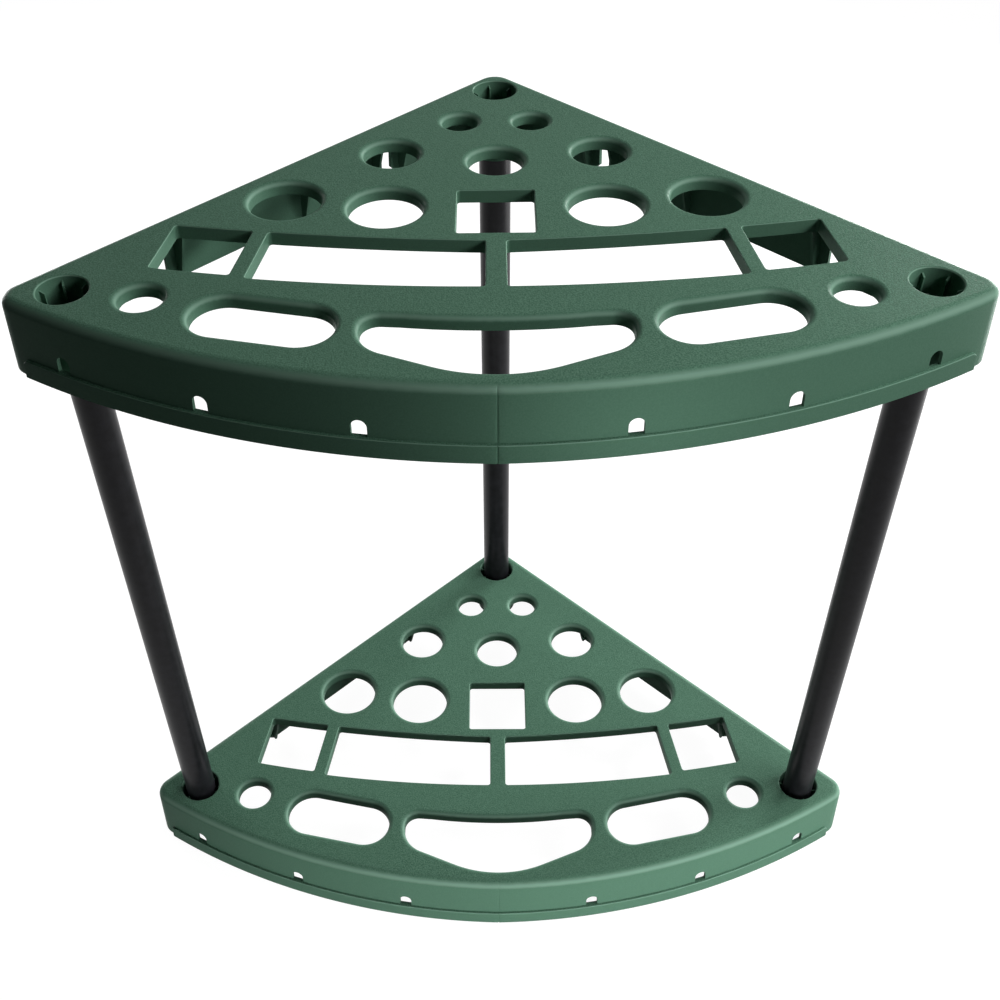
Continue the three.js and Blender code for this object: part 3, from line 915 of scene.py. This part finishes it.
def tube_plastic():
    """Satin black, with faint streaks."""
    material, shader, _ = node_material("tube_plastic")
    tree = material.node_tree
    streaks = noise(tree, STREAK_SCALE, STREAK_DETAIL)
    pale = spread(tree, streaks, NOISE_NARROW, (0, 1))
    feed(tree, shader.inputs["Base Color"], blend(tree, "RGBA", pale, BLACK_DARK, BLACK_PALE))
    feed(tree, shader.inputs["Roughness"], spread(tree, streaks, NOISE_WIDE, TUBE_ROUGHNESS))
    feed(tree, shader.inputs["Specular IOR Level"], TUBE_SPECULAR)
    feed(tree, shader.inputs["Normal"], bump(tree, streaks, *STREAK_BUMP))
    return material


# Placing the pieces on the frame

def node_box(name):
    low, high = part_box(name)
    return Vector(low), Vector(high)


def place_trays(axis):
    first = build_tray()
    # The joins and cuts leave an empty material slot
    first.data.materials.clear()
    first.data.materials.append(tray_plastic())
    for name in ("lower_tray", "upper_tray"):
        _, high = node_box(name)
        piece = bpy.data.objects.new("moulded_" + name, first.data.copy())
        bpy.context.scene.collection.objects.link(piece)
        piece.data.transform(Matrix.Translation((axis.x, axis.y, high.z)))
        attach(piece, "root")
        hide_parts(name)
    mesh = first.data
    bpy.data.objects.remove(first)
    bpy.data.meshes.remove(mesh)


def place_tubes():
    material = tube_plastic()
    for name in ("left_tube", "right_tube", "back_tube"):
        low, high = node_box(name)
        middle = (low + high) / 2
        piece = build_tube("round_" + name, (high.z - low.z) / MM)
        piece.data.transform(Matrix.Translation((middle.x, middle.y, low.z)))
        piece.data.materials.append(material)
        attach(piece, "root")
        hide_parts(name)


# Camera, in millimetres from the back tube's axis and the lower tray's top. Turns are in degrees

CAMERA_SIDE = -2.613
CAMERA_FORWARD = 1059.787
CAMERA_HEIGHT = 1056.413
CAMERA_YAW = -1.563
CAMERA_PITCH = 44.467
CAMERA_ROLL = -1.396
FOCAL_PIXELS = 1271.147
CENTRE_X_PIXELS = 469.358
CENTRE_Y_PIXELS = 559.505
IMAGE_PIXELS = 1000
SENSOR = 36.0
NEAREST = 10
FARTHEST = 50000


def add_camera(axis):
    yaw, pitch, roll = (math.radians(turn) for turn in (CAMERA_YAW, CAMERA_PITCH, CAMERA_ROLL))
    level = Vector((math.sin(yaw), math.cos(yaw), 0))
    forward = level * math.cos(pitch) - Vector((0, 0, math.sin(pitch)))
    right = Vector((math.cos(yaw), -math.sin(yaw), 0))
    up = right.cross(forward)
    turned_right = right * math.cos(roll) + up * math.sin(roll)
    turned_up = up * math.cos(roll) - right * math.sin(roll)
    data = bpy.data.cameras.new("camera")
    camera = bpy.data.objects.new("camera", data)
    bpy.context.scene.collection.objects.link(camera)
    data.sensor_width = SENSOR
    data.sensor_fit = "HORIZONTAL"
    data.lens = FOCAL_PIXELS * SENSOR / IMAGE_PIXELS
    data.shift_x = (IMAGE_PIXELS / 2 - CENTRE_X_PIXELS) / IMAGE_PIXELS
    data.shift_y = (CENTRE_Y_PIXELS - IMAGE_PIXELS / 2) / IMAGE_PIXELS
    data.clip_start = NEAREST * MM
    data.clip_end = FARTHEST * MM
    _, lower_high = node_box("lower_tray")
    place = Vector((axis.x, axis.y, lower_high.z))
    place += Vector((CAMERA_SIDE, -CAMERA_FORWARD, CAMERA_HEIGHT)) * MM
    basis = Matrix((turned_right, turned_up, -forward)).transposed().to_4x4()
    camera.matrix_world = Matrix.Translation(place) @ basis
    bpy.context.scene.camera = camera


# Lamps, in metres, watts and degrees: place, target, width, height, power, spread. Most of the
# light comes from the right, some from behind, and low lamps of narrow spread light the skirts.

LAMPS = {
    "right": ((1.54, -0.56, 1.447), (0, 0, 0.3), 0.8, 0.8, 18, 180),
    "high_right": ((1.3, 0.2, 1.5), (0, 0, 0.4), 0.5, 0.5, 16, 180),
    "behind": ((1.273, 1.517, 0.578), (0, 0, 0.3), 0.8, 0.8, 63, 180),
    "behind_left": ((-1.4, 1.4, 0.45), (0, 0, 0.35), 0.8, 0.8, 22, 180),
    "above": ((0, 0.939, 2.066), (0, 0, 0.3), 0.8, 0.8, 4.5, 180),
    "right_low": ((1.25, 0.3, 0.2), (-0.2, 0, 0.55), 0.4, 0.4, 7, 180),
    "near_right": ((0.85, -0.9, 1.1), (0.1, -0.2, 0.6), 0.2, 0.2, 0.45, 60),
    "upper_skirt_side": ((0.6, -0.38, 0.575), (0.05, -0.23, 0.6), 0.1, 0.1, 0.065, 40),
    "upper_skirt_front": ((0.25, -0.62, 0.575), (0.08, -0.23, 0.6), 0.1, 0.1, 0.03, 30),
    "lower_skirt_right": ((0.4, -0.5, 0.05), (0.15, -0.2, 0.03), 0.5, 0.06, 0.56, 70),
    "lower_skirt_left": ((-0.15, -0.58, 0.05), (-0.1, -0.2, 0.03), 0.5, 0.06, 0.28, 70),
}


def area_light(name, place, target, width, height, power, spread_angle):
    data = bpy.data.lights.new(name, "AREA")
    data.shape = "RECTANGLE"
    data.size = width
    data.size_y = height
    data.energy = power
    data.spread = math.radians(spread_angle)
    light = bpy.data.objects.new(name, data)
    bpy.context.scene.collection.objects.link(light)
    light.location = place
    light.rotation_euler = (Vector(target) - Vector(place)).to_track_quat("-Z", "Y").to_euler()
    light.visible_camera = False


def add_lights():
    for name, settings in LAMPS.items():
        area_light(name, *settings)


# World and floor

WHITE = (1, 1, 1)
SOFT_SKY = (0.93, 0.97, 1)
SOFT_STRENGTH = 0.01
FLOOR_REACH = 6000
FLOOR_DROP = 0.2
FLOOR_GREY = (0.13, 0.13, 0.13)
FLOOR_ROUGHNESS = 0.9
FLOOR_SPECULAR = 0.1
FLOOR_GLOW = 0.96


def seen_directly(tree):
    """One where the camera sees a surface itself, in a reflection or through something clear."""
    path = tree.nodes.new("ShaderNodeLightPath")
    mirrored_or_clear = calculate(tree, "MAXIMUM", path.outputs["Is Glossy Ray"],
                                  path.outputs["Is Transmission Ray"])
    return calculate(tree, "MAXIMUM", path.outputs["Is Camera Ray"], mirrored_or_clear)


def shading(tree, kind, colour, strength):
    node = tree.nodes.new(kind)
    feed(tree, node.inputs["Color"], colour)
    feed(tree, node.inputs["Strength"], strength)
    return node.outputs[0]


def where_seen(tree, elsewhere, seen):
    """One shading where it is seen directly, and another for the light that falls on things."""
    mix = tree.nodes.new("ShaderNodeMixShader")
    for socket, value in zip(mix.inputs, (seen_directly(tree), elsewhere, seen)):
        feed(tree, socket, value)
    return mix.outputs["Shader"]


def add_world():
    """White to look at, and a faint soft light for the object."""
    world = bpy.data.worlds.new("studio")
    bpy.context.scene.world = world
    world.use_nodes = True
    tree = world.node_tree
    tree.nodes.clear()
    output = tree.nodes.new("ShaderNodeOutputWorld")
    soft = shading(tree, "ShaderNodeBackground", SOFT_SKY, SOFT_STRENGTH)
    white = shading(tree, "ShaderNodeBackground", WHITE, 1)
    feed(tree, output.inputs["Surface"], where_seen(tree, soft, white))


def floor_material():
    """White by a glow that is only seen and lights nothing, so the rack's soft shadow stays."""
    material, shader, output = node_material("floor")
    tree = material.node_tree
    feed(tree, shader.inputs["Base Color"], FLOOR_GREY)
    feed(tree, shader.inputs["Roughness"], FLOOR_ROUGHNESS)
    feed(tree, shader.inputs["Specular IOR Level"], FLOOR_SPECULAR)
    dark = shading(tree, "ShaderNodeEmission", WHITE, 0)
    glow = shading(tree, "ShaderNodeEmission", WHITE, FLOOR_GLOW)
    both = tree.nodes.new("ShaderNodeAddShader")
    feed(tree, both.inputs[0], shader.outputs["BSDF"])
    feed(tree, both.inputs[1], where_seen(tree, dark, glow))
    feed(tree, output.inputs["Surface"], both.outputs["Shader"])
    return material


def add_floor():
    corners = [(-FLOOR_REACH, -FLOOR_REACH, 0), (FLOOR_REACH, -FLOOR_REACH, 0),
               (FLOOR_REACH, FLOOR_REACH, 0), (-FLOOR_REACH, FLOOR_REACH, 0)]
    floor = mesh_object("floor", corners, [(0, 1, 2, 3)])
    floor.location.z = CAD_BOX[0][2] - FLOOR_DROP * MM
    floor.data.materials.append(floor_material())


back_low, back_high = node_box("back_tube")
back_axis = (back_low + back_high) / 2
place_trays(back_axis)
place_tubes()
add_camera(back_axis)
add_lights()
add_world()
add_floor()
bpy.context.scene.view_settings.view_transform = "Standard"
